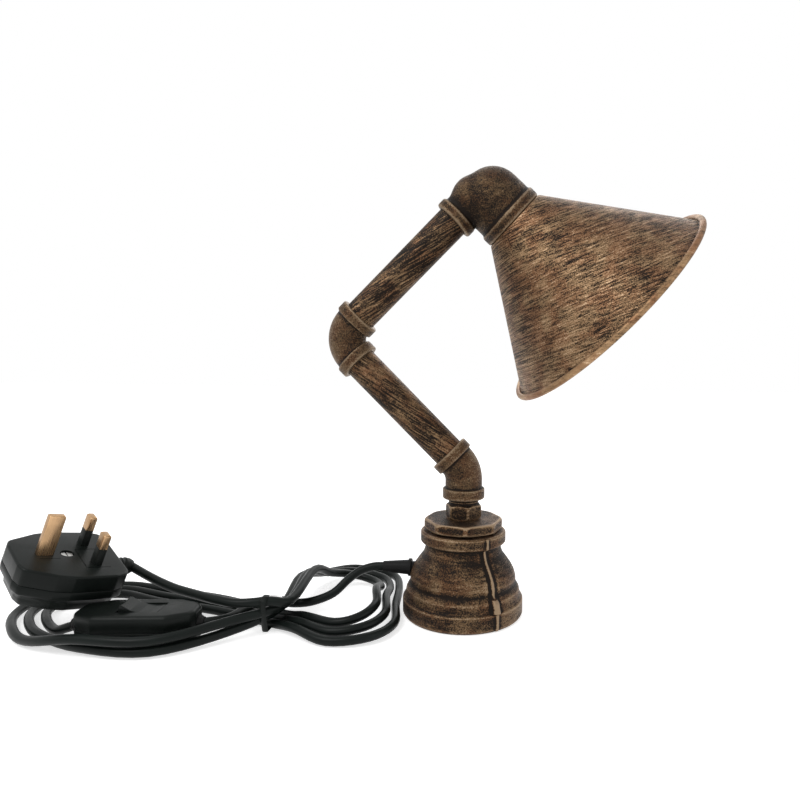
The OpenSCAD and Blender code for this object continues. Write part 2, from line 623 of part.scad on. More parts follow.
// The tie: a thin band drawn round the strands where they cross
tie_x = -104;
tie_w = 3;
tie_t = 0.4;
tie_outline = [[-47, 18], [-46, 12.5], [-40.5, 0.4], [-21.5, 0.4], [-13.5, 4], [-12, 6], [-13, 9],
    [-41.5, 21], [-44, 21], [-46.5, 19.5]];
module cord_tie() color(black) translate([tie_x - tie_w / 2, 0, 0])
    rotate([90, 0, 90]) linear_extrude(tie_w) difference() {
        offset(r = tie_t) polygon(tie_outline);
        polygon(tie_outline);
    }

// ---- In-line switch, standing on the table ----
module switch_frame() translate(switch_pos) rotate([0, 0, switch_turn]) children();

module switch_outline(inset) polygon([for (side = [-1, 1]) each [for (p = [[-0.5, 0.16],
    [-0.47, 0.3], [-0.3, 0.49], [-0.2, 0.5], [0.2, 0.5], [0.3, 0.49], [0.47, 0.3], [0.5, 0.16]])
    [-side * p[0] * (switch_len - 2 * inset), -side * p[1] * (switch_w - 2 * inset)]]]);

switch_split = 8.5;
switch_wall = 1.8;
rocker_x = 2;

module cord_holes() for (side = [-1, 1]) translate([side * (switch_len / 2 - 8), 0, switch_cord_z])
    rotate([0, side * 90, 0]) cylinder(h = 12, r = cord_r + fit_gap);

module switch_bottom() color(black) switch_frame() difference() {
    union() {
        translate([0, 0, 1]) linear_extrude(switch_split - 1) switch_outline(0);
        linear_extrude(1.1) switch_outline(1);
    }
    translate([0, 0, switch_wall]) linear_extrude(switch_h) switch_outline(switch_wall);
    cord_holes();
    for (side = [-1, 1]) translate([side * switch_len * 0.34, 0, -1]) cylinder(h = 4, r = 1.6);
}

module switch_top() color(black) switch_frame() difference() {
    union() {
        translate([0, 0, switch_split]) linear_extrude(switch_h - switch_split - 1) switch_outline(0);
        translate([0, 0, switch_h - 1.01]) linear_extrude(1.01) switch_outline(1);
    }
    translate([0, 0, switch_split - 1]) linear_extrude(switch_h - switch_split + 1 - switch_wall)
        switch_outline(switch_wall);
    translate([rocker_x - rocker_len / 2 - face_gap, -rocker_w / 2 - face_gap, switch_split])
        cube([rocker_len + 2 * face_gap, rocker_w + 2 * face_gap, switch_h]);
    cord_holes();
}

module switch_screws() color(steel) switch_frame() for (side = [-1, 1])
    translate([side * switch_len * 0.34, 0, 0.6]) {
        cylinder(h = 1.2, r = 1.5);
        translate([0, 0, 1.1]) cylinder(h = 10, r = 1);
    }

module switch_contacts() color(brass) switch_frame() for (side = [-1, 1])
    translate([side * 11 - 3, -3, switch_wall]) difference() {
        cube([6, 6, 5]);
        translate([3, 3, 3]) cylinder(h = 4, r = 1.4);
    }

pivot_z = switch_h - 3.4;
module rocker_pin() color(steel) switch_frame() translate([rocker_x, 0, pivot_z]) rotate([90, 0, 0])
    translate([0, 0, -rocker_w / 2 - 2]) cylinder(h = rocker_w + 4, r = 1);

module rocker() color([0.1, 0.1, 0.1]) switch_frame() translate([rocker_x, 0, pivot_z])
    rotate([0, rocker_tip, 0]) difference() {
        union() {
            rotate([90, 0, 0]) translate([0, 0, -rocker_w / 2]) linear_extrude(rocker_w)
                polygon([[-rocker_len / 2 + 0.4, -0.6], [rocker_len / 2 - 0.4, -0.6],
                    [rocker_len / 2 - 0.3, 4.6], [rocker_len / 4, 3.9], [0, 3.6],
                    [-rocker_len / 4, 3.9], [-rocker_len / 2 + 0.3, 4.6]]);
            translate([-2.2, -rocker_w / 2, -3]) cube([4.4, rocker_w, 3]);
        }
        rotate([90, 0, 0]) translate([0, 0, -rocker_w]) cylinder(h = 2 * rocker_w, r = 1 + run_gap);
    }

// ---- Plug, lying on its back with its pins up ----
module plug_frame() translate(plug_pos) rotate(plug_tilt) children();

module plug_outline(inset) polygon([for (p = [[-0.2, 0.5], [0.2, 0.5], [0.31, 0.47], [0.46, 0.2],
    [0.5, 0.05], [0.5, -0.36], [0.46, -0.46], [0.38, -0.5], [-0.38, -0.5], [-0.46, -0.46],
    [-0.5, -0.36], [-0.5, 0.05], [-0.46, 0.2], [-0.31, 0.47]])
    [p[0] * (plug_w - 2 * inset), p[1] * (plug_len - 2 * inset)]]);

pin_pitch = 22.2;
pin_t = 4;
earth_w = 8;
line_w = 6.4;
earth_len = 22.7;
line_len = 17.7;
sleeve_len = 9.4;
plug_wall = 2;
boss_r = 3.6;

module plug_base() color(black) plug_frame() difference() {
    union() {
        translate([0, 0, -plug_base_t]) linear_extrude(plug_base_t - 0.8) plug_outline(0);
        translate([0, 0, -0.81]) linear_extrude(0.81) plug_outline(0.9);
        translate([0, -plug_len / 2 - 6.9, -plug_base_t]) intersection() {
            rotate([-90, 0, 0]) cylinder(h = 7, r = 5.4);
            translate([-6, 0, 0]) cube([12, 8, 6]);
        }
    }
    translate([-pin_t / 2, (pin_pitch - earth_w) / 2, -20]) cube([pin_t, earth_w, 30]);
    for (side = [-1, 1]) translate([side * pin_pitch / 2 - line_w / 2, -pin_pitch / 2 - pin_t / 2, -20])
        cube([line_w, pin_t, 30]);
    translate([0, 0, -plug_base_t - 1]) cylinder(h = 20, r = 1.8);
    translate([0, 0, -2.5]) cylinder(h = 5, r = 3.3);
    translate([0, -plug_len / 2 - 12, -plug_base_t]) rotate([-90, 0, 0])
        cylinder(h = 20, r = cord_r + fit_gap);
    translate([0, -plug_len / 2 + 9, -1.6]) cylinder(h = 5, r = 2.2);
}

module plug_cover() color(black) plug_frame() difference() {
    union() {
        translate([0, 0, -plug_base_t - 5.4]) linear_extrude(5.4) plug_outline(0);
        translate([0, 0, -plug_base_t - 11]) linear_extrude(5.61) plug_outline(2.6);
        translate([0, 0, -plug_base_t - plug_cover_t])
            linear_extrude(plug_cover_t - 10.99) plug_outline(3.4);
        translate([0, -plug_len / 2 - 6.9, -plug_base_t]) intersection() {
            rotate([-90, 0, 0]) cylinder(h = 7, r = 5.4);
            translate([-6, 0, -6]) cube([12, 8, 6]);
        }
    }
    difference() {
        translate([0, 0, -plug_base_t - plug_cover_t + 2.4]) linear_extrude(plug_cover_t)
            plug_outline(2.6 + plug_wall);
        translate([0, 0, -40]) cylinder(h = 40 - plug_base_t, r = boss_r);
    }
    translate([0, 0, -plug_base_t - 10]) cylinder(h = 20, r = 1.5);
    translate([0, -plug_len / 2 - 12, -plug_base_t]) rotate([-90, 0, 0])
        cylinder(h = 20, r = cord_r + fit_gap);
}

module plug_screw() color(steel) plug_frame() {
    translate([0, 0, -2.4]) difference() {
        cylinder(h = 1.5, r = 3);
        translate([-3, -0.4, 0.9]) cube([6, 0.8, 1]);
    }
    translate([0, 0, -plug_base_t - 8]) cylinder(h = plug_base_t + 6, r = 1.45);
}

module earth_pin() color(brass) plug_frame() {
    translate([-pin_t / 2 + 0.05, (pin_pitch - earth_w) / 2 + 0.05, -plug_base_t])
        cube([pin_t - 0.1, earth_w - 0.1, plug_base_t + earth_len - 1]);
    translate([-pin_t / 2 + 0.6, (pin_pitch - earth_w) / 2 + 0.7, earth_len - 1.01])
        cube([pin_t - 1.2, earth_w - 1.4, 1.01]);
    translate([-4, pin_pitch / 2 - 4, -plug_base_t - 5]) cube([8, 7, 5]);
}

module line_pin(side) {
    translate([side * pin_pitch / 2, -pin_pitch / 2, 0]) {
        translate([-line_w / 2 + 0.6, -pin_t / 2 + 0.6, -plug_base_t])
            cube([line_w - 1.2, pin_t - 1.2, plug_base_t + sleeve_len + 1]);
        translate([-line_w / 2 + 0.05, -pin_t / 2 + 0.05, sleeve_len])
            cube([line_w - 0.1, pin_t - 0.1, line_len - sleeve_len - 1]);
        translate([-line_w / 2 + 0.7, -pin_t / 2 + 0.6, line_len - 1.01])
            cube([line_w - 1.4, pin_t - 1.2, 1.01]);
        translate([-3.5, -3.5, -plug_base_t - 5]) cube([7, 7, 5]);
    }
}

module live_pin() color(brass) plug_frame() line_pin(-1);
module neutral_pin() color(brass) plug_frame() line_pin(1);

module pin_sleeves() color(black) plug_frame() for (side = [-1, 1])
    translate([side * pin_pitch / 2, -pin_pitch / 2, 0]) difference() {
        translate([-line_w / 2 + 0.05, -pin_t / 2 + 0.05, -plug_base_t + 1])
            cube([line_w - 0.1, pin_t - 0.1, plug_base_t - 1 + sleeve_len]);
        translate([-line_w / 2 + 0.6, -pin_t / 2 + 0.6, -20]) cube([line_w - 1.2, pin_t - 1.2, 60]);
    }

fuse_x = -12.5;
module fuse() color([0.9, 0.88, 0.82]) plug_frame() translate([fuse_x, -4, -plug_base_t - 4])
    rotate([-90, 0, 0]) cylinder(h = 16, r = 3.1);

module fuse_clips() color(brass) plug_frame() for (y = [-5.2, 12.1])
    translate([fuse_x - 3, y, -plug_base_t - 7.2]) cube([6, 1.1, 6.4]);

module flex_grip() color(black) plug_frame() translate([-9, -plug_len / 2 + 4.6, -plug_base_t - 5])
    cube([18, 3, 2.2]);

bell_socket();
base_plate();
felt_pad();
reducing_bush();
hex_nipple();
strain_relief();
relief_nut();
earth_screw();
base_lead();
elbow_45();
lower_pipe();
lower_lead();
mid_elbow();
upper_pipe();
upper_lead();
top_elbow();
outlet_bush();
holder_cap();
holder_body();
holder_insert();
holder_contact();
screw_shell();
shade_ring();
shade();
bulb_cap();
bulb_glass();
bulb_filament();
head_lead();
cord_base_run();
cord_switch_run();
cord_hank();
cord_plug_run();
cord_tie();
switch_bottom();
switch_top();
switch_screws();
switch_contacts();
rocker();
rocker_pin();
plug_base();
plug_cover();
plug_screw();
earth_pin();
live_pin();
neutral_pin();
pin_sleeves();
fuse();
fuse_clips();
flex_grip();
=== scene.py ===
"""Industrial pipe table lamp, dressed on its CAD frame.

Objects are in metres. Numbers repeated from the CAD source are in millimetres, and MM turns
them into metres.
"""
import math

import bmesh
import bpy
import numpy as np
from mathutils import Matrix, Vector


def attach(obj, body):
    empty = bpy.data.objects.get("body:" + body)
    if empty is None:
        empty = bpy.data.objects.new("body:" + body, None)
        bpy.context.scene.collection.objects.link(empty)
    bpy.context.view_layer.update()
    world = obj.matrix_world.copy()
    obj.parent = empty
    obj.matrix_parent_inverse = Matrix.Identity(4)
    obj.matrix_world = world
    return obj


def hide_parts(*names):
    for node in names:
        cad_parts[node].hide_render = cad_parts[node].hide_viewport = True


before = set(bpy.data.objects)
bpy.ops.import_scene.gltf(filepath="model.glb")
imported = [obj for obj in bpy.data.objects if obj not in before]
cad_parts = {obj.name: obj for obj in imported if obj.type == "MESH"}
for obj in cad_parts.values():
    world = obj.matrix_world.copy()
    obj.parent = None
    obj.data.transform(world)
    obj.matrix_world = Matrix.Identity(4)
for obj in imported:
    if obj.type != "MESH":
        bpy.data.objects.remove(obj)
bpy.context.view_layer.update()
MM = 0.001
scene = bpy.context.scene


# ---- Camera, fitted to the photograph ----
IMAGE_PX = 800
FOCAL_PX = 605.27
CENTRE_PX = (460.31, 407.40)
SENSOR = 36


def add_camera():
    cam = bpy.data.objects.new("camera", bpy.data.cameras.new("camera"))
    scene.collection.objects.link(cam)
    right = Vector((0.99661, 0.08172, 0.00903)).normalized()
    forward = Vector((-0.08084, 0.99398, -0.07391)).normalized()
    up = right.cross(forward)
    cam.matrix_world = Matrix.Translation((0.026127, -0.351049, 0.147465)) @ Matrix(
        [[right[i], up[i], -forward[i]] for i in range(3)]).to_4x4()
    cam.data.sensor_width = SENSOR
    cam.data.lens = FOCAL_PX * SENSOR / IMAGE_PX
    cam.data.shift_x = 0.5 - CENTRE_PX[0] / IMAGE_PX
    cam.data.shift_y = CENTRE_PX[1] / IMAGE_PX - 0.5
    cam.data.clip_start = 0.01
    scene.camera = cam


# ---- Flex: the same route as the CAD's ----
CORD_D = 5.0
SWITCH_POS, SWITCH_TURN = (-166, -57, 0.9), 7
SWITCH_LEN, SWITCH_W, SWITCH_CORD_Z = 62, 26, 8.5
ROCKER_X, ROCKER_Z, ROCKER_REST = 2, 13.6, 9
PLUG_POS, PLUG_TILT = (-212.5, -46.8, 42), (13.4, -16.6, 142.9)
PLUG_LEN, PLUG_CORD_Z, PLUG_EXIT = 51, -9, 11
PIN_PITCH = 22.2


def turned(axis, degrees, size=4):
    return Matrix.Rotation(math.radians(degrees), size, axis)


def spline(points, per=5):
    """A smooth line through the points."""
    p, out = [Vector(q) for q in points], []
    for i in range(len(p) - 1):
        a, b, c, d = p[max(i - 1, 0)], p[i], p[i + 1], p[min(i + 2, len(p) - 1)]
        for k in range(per):
            t = k / per
            out.append(0.5 * (2 * b + (c - a) * t + (2 * a - 5 * b + 4 * c - d) * t * t
                              + (3 * b - a - 3 * c + d) * t ** 3))
    return out + [p[-1]]


SWITCH_FRAME = Matrix.Translation(SWITCH_POS) @ turned("Z", SWITCH_TURN)
PLUG_FRAME = Matrix.Translation(PLUG_POS) @ turned("Z", PLUG_TILT[2]) @ turned("Y", PLUG_TILT[1]) \
    @ turned("X", PLUG_TILT[0])

# The first turn's points. The hank crosses itself at the tie, and the point of each later
# turn lies one step from the last turn's.
HANK_FIRST = [(-212, -58, 4), (-224.5, -48.5, 4), (-234.5, -35.5, 4), (-235.5, -22, 4), (-227, -11.5, 3),
              (-207.5, -7, 4), (-178, -17, 4), (-140, -25, 4), (-103.5, -35.5, 3), (-87, -45, 5),
              (-67, -54, 3), (-45, -49, 4), (-35.5, -31.5, 4), (-39.5, -5, 3.5), (-42.5, 22.5, 3),
              (-48.5, 42, 3.5), (-65, 51, 4), (-80.5, 48, 6), (-94, 33.5, 7.5), (-101, 6, 14.5),
              (-100, -30.5, 10), (-120, -53, 5), (-149.5, -75, 3.5), (-186.5, -75, 4)]
HANK_STEP = [(-3, -6.5, 0), (-6, -5, 0), (-8, -2, -0.25), (-8.25, 1.75, 0), (-6, 6, 0),
             (-2.5, 7, 0), (0, 8.25, 0), (0, 6.5, 0.5), (1.25, 6, 0), (0.25, 6.75, 0.5),
             (0.25, 6.75, 2), (-4, 6, 2.75), (-5.75, 3.5, 4), (-6, 1, 4.5), (-5, -4, 2),
             (-5, -8, 1), (-1.5, -10, 1.25), (1, -9.5, 1.5), (4, -6.75, 2.5), (5.25, -2.75, 3.25),
             (4.25, -2.75, 3.5), (1, -0.75, 6), (-0.25, -1, 5.75), (-1, -3, 5.5)]
HANK_TURN = len(HANK_FIRST)
HANK_LAST = 68
BASE_ROUTE = [(-47.8, 0, 25), (-54, 0, 24.5), (-62, -0.5, 21.75), (-69, -2.5, 16.75), (-76.5, -8, 10.25),
              (-87, -13, 7), (-97, -14, 5.75), (-104, -15.5, 6.75), (-110, -19, 8.75), (-115, -25, 10.25),
              (-118.5, -32, 9.75), (-121, -42, 9.3), (-125, -48, 9.25), (-131, -51.8, 9.4)]
SWITCH_ROUTE = [(-203, -60.5, 7)]
PLUG_ROUTE = [(-102, -43, 18.4), (-117, -46, 17.75), (-131, -43, 18), (-146, -37, 18), (-162, -31, 18.75),
              (-178, -25, 21.5)]


def cord_lines():
    base = spline(BASE_ROUTE + [SWITCH_FRAME @ Vector((SWITCH_LEN / 2, 0, SWITCH_CORD_Z))])
    hank = [Vector(HANK_FIRST[i % HANK_TURN]) + i // HANK_TURN * Vector(HANK_STEP[i % HANK_TURN])
            for i in range(HANK_LAST + 1)]
    plug_exit = PLUG_FRAME @ Vector((0, -PLUG_LEN / 2 - PLUG_EXIT, PLUG_CORD_Z))
    long = spline([SWITCH_FRAME @ Vector((-SWITCH_LEN / 2, 0, SWITCH_CORD_Z))] + SWITCH_ROUTE
                  + hank + PLUG_ROUTE + [plug_exit])
    return [[q * MM for q in base], [q * MM for q in long]]


def length_of(line):
    return sum((b - a).length for a, b in zip(line, line[1:]))


def curve_piece(name, line, radius, material, body="base", resolution=5):
    data = bpy.data.curves.new(name, "CURVE")
    data.dimensions = "3D"
    data.bevel_depth = radius
    data.bevel_resolution = resolution
    data.use_fill_caps = True
    s = data.splines.new("POLY")
    s.points.add(len(line) - 1)
    for p, q in zip(s.points, line):
        p.co = (*q, 1)
    s.use_smooth = True
    obj = bpy.data.objects.new(name, data)
    scene.collection.objects.link(obj)
    data.materials.append(material)
    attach(obj, body)
    return obj


# ---- Shader helpers ----
def new_material(name, **principled):
    mat = bpy.data.materials.new(name)
    mat.use_nodes = True
    shader = mat.node_tree.nodes["Principled BSDF"]
    for key, value in principled.items():
        shader.inputs[key.replace("_", " ")].default_value = value
    return mat, mat.node_tree, shader


def node(tree, kind, inputs=None, **props):
    made = tree.nodes.new("ShaderNode" + kind)
    for key, value in props.items():
        setattr(made, key, value)
    for key, value in (inputs or {}).items():
        if isinstance(value, bpy.types.NodeSocket):
            tree.links.new(value, made.inputs[key])
        else:
            made.inputs[key].default_value = value
    return made


def math_node(tree, operation, a, b=0.0, c=0.0):
    return node(tree, "Math", {0: a, 1: b, 2: c}, operation=operation).outputs[0]


def smooth(tree, value, low, high, to_low=0.0, to_high=1.0):
    return node(tree, "MapRange", {"Value": value, "From Min": low, "From Max": high,
                "To Min": to_low, "To Max": to_high}, interpolation_type="SMOOTHSTEP").outputs[0]


def noise(tree, vector, scale, detail=3.0, rough=0.55):
    return node(tree, "TexNoise", {"Vector": vector, "Scale": scale, "Detail": detail,
                "Roughness": rough}).outputs["Fac"]


def object_point(tree):
    return node(tree, "TexCoord").outputs["Object"]


def along(tree, point, direction):
    """The point's distance along a direction."""
    return node(tree, "VectorMath", {0: point, 1: tuple(direction)},
                operation="DOT_PRODUCT").outputs["Value"]


def bumped(tree, shader, strength, depth, height):
    bump = node(tree, "Bump", {"Strength": strength, "Distance": depth, "Height": height})
    tree.links.new(bump.outputs[0], shader.inputs["Normal"])


def shade_of(colour, factor):
    return tuple(c * factor for c in colour)


def mix_colour(tree, factor, a, b):
    made = node(tree, "Mix", data_type="RGBA")
    for key, value in ((0, factor), (6, a), (7, b)):
        if isinstance(value, bpy.types.NodeSocket):
            tree.links.new(value, made.inputs[key])
        else:
            made.inputs[key].default_value = value if key == 0 else (*value, 1)
    return made.outputs[2]


def stretched(tree, directions, lengths):
    """Object coordinates in the frame of three directions, each divided by its streak length."""
    p = object_point(tree)
    parts = [math_node(tree, "MULTIPLY", along(tree, p, Vector(d).normalized()), 1 / length)
             for d, length in zip(directions, lengths)]
    return node(tree, "CombineXYZ", dict(enumerate(parts))).outputs[0]


def twisted(tree, origin, axis, twist, length, width):
    """Coordinates for streaks that run along a pipe and wind slowly round it, with no seam."""
    rel = node(tree, "VectorMath", {0: object_point(tree), 1: tuple(origin)}, operation="SUBTRACT").outputs[0]
    a = Vector(axis).normalized()
    s = along(tree, rel, a)
    wound = node(tree, "VectorRotate", {"Vector": rel, "Axis": tuple(a),
                 "Angle": math_node(tree, "MULTIPLY", s, twist)}, rotation_type="AXIS_ANGLE").outputs[0]
    e1 = a.orthogonal().normalized()
    parts = [s, along(tree, wound, e1), along(tree, wound, a.cross(e1))]
    scaled = [math_node(tree, "MULTIPLY", q, 1 / size) for q, size in zip(parts, (length, width, width))]
    return node(tree, "CombineXYZ", dict(enumerate(scaled))).outputs[0]


# The finish, from the black ground to the most worn metal
DARK = (0.0095, 0.0058, 0.0038)
COPPER = (0.21, 0.108, 0.055)
BRONZE = (0.27, 0.168, 0.090)
LIGHT = (0.50, 0.355, 0.225)


def antique(name, streaks, cover=0.5, grain=0.35, streak=0.65, patch=0.4, bump=0.25, soft=0.16, edge=0.5,
            tone_and_painted_shade=1.0, grain_size=0.0007):
    """Near-black under dry-brushed bronze. streaks(tree) gives the brush coordinates, cover is
    the share of metal that shows, grain, streak and patch weigh the noises, soft is the width of
    the step between black and metal, and edge is how much the brush caught raised edges and
    missed hollows."""
    mat, tree, shader = new_material(name, Specular_IOR_Level=0.12)
    p = object_point(tree)
    strokes = noise(tree, streaks(tree), 1.0, 6.0, 0.72)
    fine = noise(tree, p, 1 / grain_size, 3.0, 0.65)
    broad = noise(tree, p, 48.0, 3.0, 0.55)
    # The edge attribute: brush wear on raised edges and missed hollows, and on the shade's flange a painted
    # shadow
    wear_and_shade = node(tree, "Attribute", attribute_name="edge").outputs["Fac"]
    total = math_node(tree, "ADD", math_node(tree, "MULTIPLY", strokes, streak),
                      math_node(tree, "MULTIPLY", fine, grain))
    total = math_node(tree, "MULTIPLY_ADD", broad, patch, total)
    total = math_node(tree, "MULTIPLY_ADD", wear_and_shade, edge, total)
    level = 0.5 * (streak + grain + patch) + (0.5 - cover) * 0.5
    mask = smooth(tree, total, level - soft / 2, level + soft / 2)
    peak = smooth(tree, total, level + soft / 2, level + soft / 2 + 0.16)
    hue = smooth(tree, noise(tree, p, 90.0, 2.0), 0.38, 0.62)
    # The metal colours are scaled per part; for the castings and elbows the darker scale is painted shade
    bright = mix_colour(tree, hue, shade_of(COPPER, tone_and_painted_shade), shade_of(BRONZE, tone_and_painted_shade))
    bright = mix_colour(tree, peak, bright, shade_of(LIGHT, tone_and_painted_shade))
    tree.links.new(mix_colour(tree, mask, DARK, bright), shader.inputs["Base Color"])
    tree.links.new(smooth(tree, mask, 0, 1, 0.1, 0.75), shader.inputs["Metallic"])
    tree.links.new(smooth(tree, mask, 0, 1, 0.55, 0.46), shader.inputs["Roughness"])
    height = math_node(tree, "ADD", math_node(tree, "MULTIPLY", fine, grain),
                       math_node(tree, "MULTIPLY", mask, 0.25))
    bumped(tree, shader, bump, 0.0005, height)
    return mat


def plastic(name, colour, rough, grain=0.0, size=0.0004, sheen=0.0, gloss=0.12):
    mat, tree, shader = new_material(name, Specular_IOR_Level=gloss, Sheen_Weight=sheen)
    p = object_point(tree)
    fine = noise(tree, p, 1 / size, 2.0)
    broad = noise(tree, p, 70.0, 2.0)
    tree.links.new(smooth(tree, broad, 0.3, 0.7, rough - 0.06, rough + 0.06), shader.inputs["Roughness"])
    tree.links.new(mix_colour(tree, smooth(tree, broad, 0.2, 0.8), shade_of(colour, 0.8), shade_of(colour, 1.25)),
                   shader.inputs["Base Color"])
    bumped(tree, shader, grain, 0.0002, fine)
    return mat


def metal(name, colour, rough, brushed=(0, 0, 1), grain=0.15):
    mat, tree, shader = new_material(name, Metallic=1.0)
    a = Vector(brushed).normalized()
    b = a.orthogonal().normalized()
    lines = noise(tree, stretched(tree, (a, b, a.cross(b)), (0.012, 0.0003, 0.0003)), 1.0, 2.0)
    broad = noise(tree, object_point(tree), 120.0, 2.0)
    tree.links.new(mix_colour(tree, smooth(tree, broad, 0.25, 0.75), shade_of(colour, 0.78), colour),
                   shader.inputs["Base Color"])
    tree.links.new(smooth(tree, lines, 0.3, 0.7, rough - 0.07, rough + 0.09), shader.inputs["Roughness"])
    bumped(tree, shader, grain, 0.0001, lines)
    return mat


# The head is turned and tipped a little from square to the upper pipe
HEAD_YAW, HEAD_TILT = 9, -2.3
HEAD = turned("Y", 45, 3) @ turned("Z", HEAD_YAW, 3) @ turned("Y", 90 + HEAD_TILT, 3)
ALONG_SHADE, ACROSS_SHADE = HEAD @ Vector((0, 0, 1)), HEAD @ Vector((-1, 0, 0))
ALONG_ARM = Vector((1, 0, 1)).normalized()
# Where the axes of each elbow meet
TOP = Vector((9.4752, 0, 244.9819)) * MM
MID = Vector((-74.9533, 0, 160.5533)) * MM
ELBOW45 = Vector((0, 0, 85.6)) * MM


def shade_streaks(tree):
    lean = math.radians(25)
    stroke = ACROSS_SHADE * math.cos(lean) + ALONG_SHADE * math.sin(lean)
    normal = Vector((0, 1, 0))
    return stretched(tree, (stroke, normal.cross(stroke), normal), (0.0075, 0.0008, 0.05))


def cast_streaks(tree):
    return stretched(tree, ((1, 0.1, 0.05), (0, 1, 0), (0, 0, 1)), (0.006, 0.006, 0.0016))


def make_materials():
    m = {}
    m["shade"] = antique("antique_shade", shade_streaks, cover=0.47, grain=0.7, streak=1.0, patch=0.25,
                         bump=0.35, soft=0.2, edge=0.25, grain_size=0.0006)
    # The castings and elbows get a darker copy of the bronze: painted shade, for the dimmer light on these parts
    m["cast"] = antique("antique_cast_painted_shade", cast_streaks, cover=0.40, grain=0.8, streak=0.45, bump=0.55,
                        soft=0.2, edge=0.65, tone_and_painted_shade=0.56)
    m["elbow"] = antique("antique_elbow_painted_shade", cast_streaks, cover=0.38, grain=0.9, streak=0.4, patch=0.35,
                         bump=0.6, soft=0.24, edge=0.6, tone_and_painted_shade=0.42)
    m["bead"] = antique("antique_bead", cast_streaks, cover=0.72, grain=0.3, streak=0.6, bump=0.2,
                        soft=0.3, edge=0, tone_and_painted_shade=1.3)
    for key, corner, lean in (("lower", ELBOW45, -1), ("upper", MID, 1)):
        m[key] = antique("antique_%s_pipe" % key,
                         lambda t, corner=corner, lean=lean: twisted(t, corner, (lean, 0, 1), -30 * lean,
                                                                     0.011, 0.0010),
                         cover=0.42, grain=0.5, streak=1.0, bump=0.3, soft=0.2, edge=0.0, tone_and_painted_shade=0.85)
    m["flex"] = plastic("flex_pvc", (0.006, 0.0085, 0.0075), 0.36, 0.12, 0.0005)
    m["moulded"] = plastic("moulded_black", (0.0065, 0.0085, 0.0075), 0.36, 0.2, 0.0004)
    m["rubber"] = plastic("relief_rubber", (0.009, 0.009, 0.009), 0.5, 0.25, 0.0005)
    m["felt"] = plastic("felt", (0.02, 0.02, 0.022), 0.95, 1.0, 0.0004, 0.4)
    m["ceramic"] = plastic("ceramic", (0.62, 0.6, 0.55), 0.25, 0.03, 0.001, gloss=0.5)
    m["rocker"] = plastic("rocker_black", (0.008, 0.010, 0.009), 0.28, 0.08, 0.0005)
    m["brass"] = metal("brass", (0.52, 0.33, 0.18), 0.3, PLUG_FRAME.to_3x3() @ Vector((0, 0, 1)))
    m["steel"] = metal("steel", (0.62, 0.62, 0.60), 0.34, (1, 0, 0))
    m["glass"] = new_material("bulb_glass", Base_Color=(0.98, 0.95, 0.88, 1), Roughness=0.03, IOR=1.45,
                              Transmission_Weight=1.0)[0]
    m["filament"] = new_material("filament", Base_Color=(0.7, 0.5, 0.3, 1), Roughness=0.4, Metallic=0.6)[0]
    return m


# ---- Mesh helpers ----
def mesh_piece(name, verts, faces, material, body, replaced=(), slot=None, smooth_angle=35):
    data = bpy.data.meshes.new(name)
    data.from_pydata([tuple(v) for v in verts], [], faces)
    data.materials.append(material)
    obj = bpy.data.objects.new(name, data)
    scene.collection.objects.link(obj)
    fix_normals(obj, smooth_angle)
    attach(obj, body)
    if replaced:
        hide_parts(*replaced)
    return obj


def fix_normals(obj, smooth_angle=35):
    bm = bmesh.new()
    bm.from_mesh(obj.data)
    bmesh.ops.recalc_face_normals(bm, faces=bm.faces)
    for f in bm.faces:
        f.smooth = True
    if smooth_angle < 180:
        for e in bm.edges:
            e.smooth = e.calc_face_angle(0) < math.radians(smooth_angle)
    bm.to_mesh(obj.data)
    bm.free()


def neighbour_mean(obj, co, rounds):
    """The points after rounds of smoothing over the mesh's edges."""
    n = len(co)
    edges = np.empty(len(obj.data.edges) * 2, np.int32)
    obj.data.edges.foreach_get("vertices", edges)
    a, b = edges[0::2], edges[1::2]
    count = np.bincount(a, minlength=n) + np.bincount(b, minlength=n)
    count = np.maximum(count, 1)[:, None]
    out = co.copy()
    for _ in range(rounds):
        total = np.zeros_like(out)
        np.add.at(total, a, out[b])
        np.add.at(total, b, out[a])
        out = 0.5 * out + 0.5 * total / count
    return out


def mark_edges(obj, rounds=8, full=0.0003):
    """Stores how far each point stands out from its smoothed surroundings: where a brush
    catches, above 0, and where it misses, below."""
    data = obj.data
    co = np.empty(len(data.vertices) * 3)
    data.vertices.foreach_get("co", co)
    co = co.reshape(-1, 3)
    normal = np.empty(len(data.vertices) * 3)
    data.vertices.foreach_get("normal", normal)
    out = np.einsum("ij,ij->i", co - neighbour_mean(obj, co, rounds), normal.reshape(-1, 3))
    value = np.clip(out / full, -1, 1)
    attribute = data.attributes.get("edge") or data.attributes.new("edge", "FLOAT", "POINT")
    attribute.data.foreach_set("value", value.astype(np.float32))


def place(origin, axis, x_axis=None):
    z = Vector(axis).normalized()
    x = Vector(x_axis).normalized() if x_axis else z.orthogonal().normalized()
    y = z.cross(x)
    return Matrix.Translation(origin) @ Matrix([[x[i], y[i], z[i]] for i in range(3)]).to_4x4()


def ring_faces(n, segments):
    """Quads between rings of n points, the last joined to the first."""
    faces = []
    for k in range(segments):
        a, b = k * n, (k + 1) % segments * n
        faces += [(a + i, b + i, b + (i + 1) % n, a + (i + 1) % n) for i in range(n)]
    return faces


def lathe(profile, at, segments=128, shift=None):
    """Turns a closed profile of (radius, height) in mm about the frame's Z. shift(angle, height,
    radius) adds to the radius."""
    verts = []
    for k in range(segments):
        w = 2 * math.pi * k / segments
        for r, z in profile:
            rr = r + (shift(w, z, r) if shift else 0)
            verts.append(at @ Vector((rr * math.cos(w) * MM, rr * math.sin(w) * MM, z * MM)))
    return verts, ring_faces(len(profile), segments)


